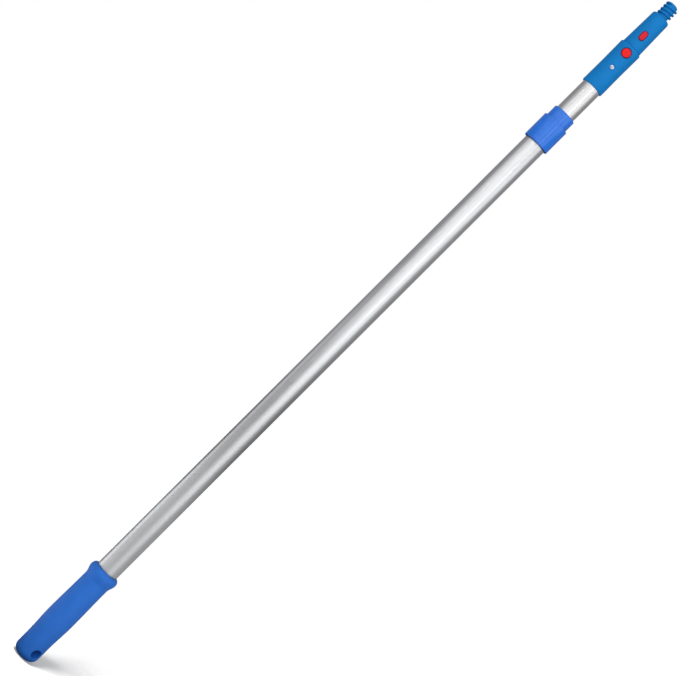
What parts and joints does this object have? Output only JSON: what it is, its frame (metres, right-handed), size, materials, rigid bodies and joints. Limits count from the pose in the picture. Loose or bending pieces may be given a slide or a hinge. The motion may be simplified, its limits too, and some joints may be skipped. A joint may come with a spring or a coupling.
{
  "type": "telescopic window-cleaning pole",
  "caption": "Telescopic aluminium pole with a blue hand grip, a twist-lock collar and a threaded tool cone with red push buttons.",
  "frame": {"origin": "centre of the grip's flat butt, the lowest point of the pole", "axes": "+Z along the pole from the butt to the threaded tip; the hanging hole runs along Y; both red buttons and the front rivet face halfway between -X and -Y"},
  "size_m": [0.041, 0.041, 1.127],
  "materials": {
    "grip_blue": "soft moulded blue, satin",
    "collar_blue": "moulded blue, semi-gloss",
    "adapter_blue": "moulded blue, semi-gloss",
    "button_red": "moulded red, gloss",
    "catch_red": "moulded red, gloss",
    "outer_aluminium": "drawn and satin anodised",
    "inner_aluminium": "drawn and satin anodised",
    "rivet_aluminium": "bright, as headed",
    "spring_steel": "drawn spring wire",
    "white_nylon": "natural nylon and acetal, moulded",
    "black_nylon": "black moulded plastic"
  },
  "bodies": {
    "outer_section": {"outer_tube": "outer_aluminium", "handle_grip": "grip_blue", "tube_end_plug": "black_nylon", "collet_sleeve": "white_nylon", "sleeve_rivet_left": "rivet_aluminium", "sleeve_rivet_right": "rivet_aluminium"},
    "squeeze_ring": {"squeeze_ring": "white_nylon"},
    "lock_nut": {"lock_nut": "collar_blue"},
    "guide_ring": {"guide_ring": "white_nylon"},
    "inner_section": {"inner_tube": "inner_aluminium", "tail_plug": "black_nylon", "adapter_socket": "adapter_blue", "socket_rivet_front": "rivet_aluminium", "socket_rivet_back": "rivet_aluminium", "cone_adapter": "adapter_blue", "spring_carrier": "white_nylon", "release_spring": "spring_steel", "catch_spring": "spring_steel"},
    "release_button": {"release_button": "button_red"},
    "tool_catch": {"tool_catch": "catch_red"}
  },
  "joints": [
    {"name": "extend", "type": "slide", "parent": "outer_section", "child": "guide_ring", "axis": [0, 0, 1], "range_m": [-0.045, 0.6965]},
    {"name": "spin", "type": "hinge", "parent": "guide_ring", "child": "inner_section", "pos_m": [0, 0, 0.109], "axis": [0, 0, 1], "continuous": true},
    {"name": "ring_shift", "type": "slide", "parent": "outer_section", "child": "squeeze_ring", "axis": [0, 0, 1], "range_m": [-0.0013, 0]},
    {"name": "nut_turn", "type": "hinge", "parent": "squeeze_ring", "child": "lock_nut", "pos_m": [0, 0, 0.91], "axis": [0, 0, 1], "range_deg": [-150, 0]},
    {"name": "release_press", "type": "slide", "parent": "inner_section", "child": "release_button", "axis": [0.7071, 0.7071, 0], "range_m": [0, 0.004], "stiffness_N_per_m": 800, "springref_m": -0.004, "deforming": ["release_spring"]},
    {"name": "catch_press", "type": "slide", "parent": "inner_section", "child": "tool_catch", "axis": [0.7071, 0.7071, 0], "range_m": [0, 0.0025], "stiffness_N_per_m": 600, "springref_m": -0.003, "deforming": ["catch_spring"]}
  ],
  "couplings": [
    {"joint": "ring_shift", "follows": "nut_turn", "m_per_rad": 0.00047746}
  ]
}
